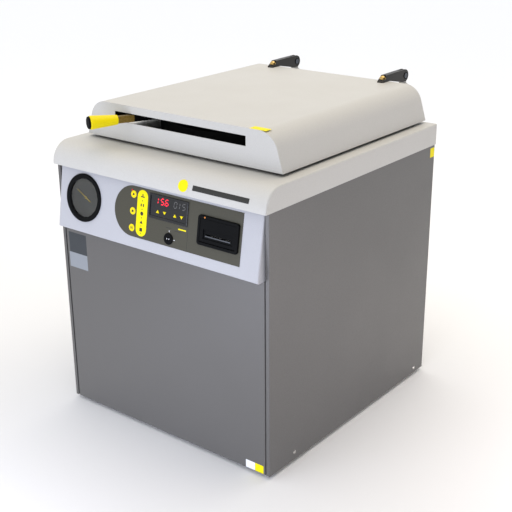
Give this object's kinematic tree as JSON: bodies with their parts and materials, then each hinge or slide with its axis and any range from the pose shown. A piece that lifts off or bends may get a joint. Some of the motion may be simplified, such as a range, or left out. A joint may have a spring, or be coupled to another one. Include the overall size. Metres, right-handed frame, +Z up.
{
  "type": "benchtop autoclave",
  "caption": "Top-loading benchtop steriliser: boxy cabinet with a hinged lid, turning lock lever, round chamber, pressure gauge, keypad display and strip printer.",
  "frame": {"origin": "on the worktop, under the middle of the whole object with the lid closed", "axes": "+Z up, front of the cabinet towards -Y, +X to the right of a person facing the front"},
  "size_m": [0.5632, 0.7148, 0.699],
  "materials": {
    "rubber_black": "matte moulded rubber",
    "grey_metal": "fine-textured grey coated sheet",
    "zinc": "zinc-plated steel",
    "bright_steel": "bright plated",
    "gold_plate": "yellow passivated plating",
    "white_coat": "satin white powder coat",
    "white_moulding": "satin white moulding",
    "overlay_film": "dark olive printed film",
    "yellow_film": "printed yellow film",
    "yellow_plastic": "moulded yellow plastic",
    "red_lens": "red lamp lens",
    "black_gloss": "smoked black plastic",
    "black_plastic": "fine-textured black plastic",
    "dial_face": "matt dark dial",
    "clear_glass": "clear flat glass",
    "circuit_board": "green circuit board",
    "thermal_paper": "rolled thermal paper",
    "stainless": "satin stainless steel",
    "black_iron": "blackened cast ring",
    "bronze": "machined bronze",
    "insulation": "mineral wool in foil cloth",
    "silicone": "moulded silicone",
    "steel_post": "turned steel",
    "arm_black": "semi-gloss black coat on steel",
    "brass": "machined brass"
  },
  "bodies": {
    "cabinet": {"rubber_feet": "rubber_black", "side_panel_left": "grey_metal", "side_panel_right": "grey_metal", "front_panel": "grey_metal", "rear_panel": "grey_metal", "corner_posts": "grey_metal", "base_tray": "zinc", "chamber_skirt": "zinc", "panel_screws": "bright_steel", "pivot_bolts": "bright_steel", "top_cover": "white_coat", "hinge_post_left": "white_coat", "hinge_post_right": "white_coat", "fascia_housing": "white_moulding", "overlay_panel": "overlay_film", "indicator_strip": "yellow_film", "status_led": "red_lens", "display_bezel": "black_gloss", "display_window": "black_gloss", "gauge_case": "black_plastic", "printer_bezel": "black_plastic", "printer_case": "black_plastic", "mains_inlet": "black_plastic", "key_switch_collar": "black_plastic", "gauge_dial": "dial_face", "gauge_glass": "clear_glass", "control_board": "circuit_board", "chamber_vessel": "stainless", "chamber_neck": "stainless", "basket_grid": "stainless", "heater_element": "stainless", "insulation_jacket": "insulation", "drain_valve": "brass", "vent_spout": "brass"},
    "lid": {"lid_cover": "white_coat", "pressure_plate": "stainless", "lid_gasket": "silicone", "ring_keeper": "bronze", "lid_posts": "steel_post", "hinge_arm_left": "arm_black", "hinge_arm_right": "arm_black", "arm_bolts": "gold_plate"},
    "lock": {"lock_ring": "black_iron", "lever_bar": "zinc", "lever_grip": "yellow_plastic", "grip_cap": "black_plastic"},
    "key_top": {"round_key_top": "yellow_plastic"},
    "key_middle": {"round_key_middle": "yellow_plastic"},
    "key_bottom": {"round_key_bottom": "yellow_plastic"},
    "arrow_a": {"arrow_key_a": "yellow_plastic"},
    "arrow_b": {"arrow_key_b": "yellow_plastic"},
    "arrow_c": {"arrow_key_c": "yellow_plastic"},
    "arrow_d": {"arrow_key_d": "yellow_plastic"},
    "barrel": {"key_switch_barrel": "black_plastic"},
    "door": {"printer_door": "black_plastic", "tear_bar": "bright_steel"},
    "roll": {"paper_roll": "thermal_paper"},
    "needle": {"gauge_needle": "yellow_plastic"},
    "tap": {"drain_lever": "zinc"}
  },
  "joints": [
    {"name": "lid_swing", "type": "hinge", "parent": "cabinet", "child": "lid", "pos_m": [0, 0.3285, 0.685], "axis": [-1, 0, 0], "range_deg": [0, 82]},
    {"name": "lock_turn", "type": "hinge", "parent": "lid", "child": "lock", "pos_m": [0, -0.0095, 0.64], "axis": [0, 0, -1], "range_deg": [-53, 0]},
    {"name": "needle_turn", "type": "hinge", "parent": "cabinet", "child": "needle", "pos_m": [-0.1955, -0.34032, 0.49668], "axis": [0, 0.9864, -0.1644], "range_deg": [-100, 190]},
    {"name": "key_switch_turn", "type": "hinge", "parent": "cabinet", "child": "barrel", "pos_m": [0.0455, -0.35112, 0.46229], "axis": [0, 0.9864, -0.1644], "range_deg": [0, 90]},
    {"name": "printer_door_swing", "type": "hinge", "parent": "cabinet", "child": "door", "pos_m": [0.16825, -0.35107, 0.47719], "axis": [1, 0, 0], "range_deg": [0, 88]},
    {"name": "paper_roll_spin", "type": "hinge", "parent": "cabinet", "child": "roll", "pos_m": [0.16825, -0.32166, 0.49307], "axis": [1, 0, 0], "continuous": true},
    {"name": "drain_tap_turn", "type": "hinge", "parent": "cabinet", "child": "tap", "pos_m": [-0.15, 0.2955, 0.0982], "axis": [0, 0, 1], "range_deg": [0, 90]},
    {"name": "key_top_press", "type": "slide", "parent": "cabinet", "child": "key_top", "axis": [0, 0.9864, -0.1644], "range_m": [0, 0.0005], "stiffness_N_per_m": 800},
    {"name": "key_middle_press", "type": "slide", "parent": "cabinet", "child": "key_middle", "axis": [0, 0.9864, -0.1644], "range_m": [0, 0.0005], "stiffness_N_per_m": 800},
    {"name": "key_bottom_press", "type": "slide", "parent": "cabinet", "child": "key_bottom", "axis": [0, 0.9864, -0.1644], "range_m": [0, 0.0005], "stiffness_N_per_m": 800},
    {"name": "arrow_a_press", "type": "slide", "parent": "cabinet", "child": "arrow_a", "axis": [0, 0.9864, -0.1644], "range_m": [0, 0.0006], "stiffness_N_per_m": 800},
    {"name": "arrow_b_press", "type": "slide", "parent": "cabinet", "child": "arrow_b", "axis": [0, 0.9864, -0.1644], "range_m": [0, 0.0006], "stiffness_N_per_m": 800},
    {"name": "arrow_c_press", "type": "slide", "parent": "cabinet", "child": "arrow_c", "axis": [0, 0.9864, -0.1644], "range_m": [0, 0.0006], "stiffness_N_per_m": 800},
    {"name": "arrow_d_press", "type": "slide", "parent": "cabinet", "child": "arrow_d", "axis": [0, 0.9864, -0.1644], "range_m": [0, 0.0006], "stiffness_N_per_m": 800}
  ]
}
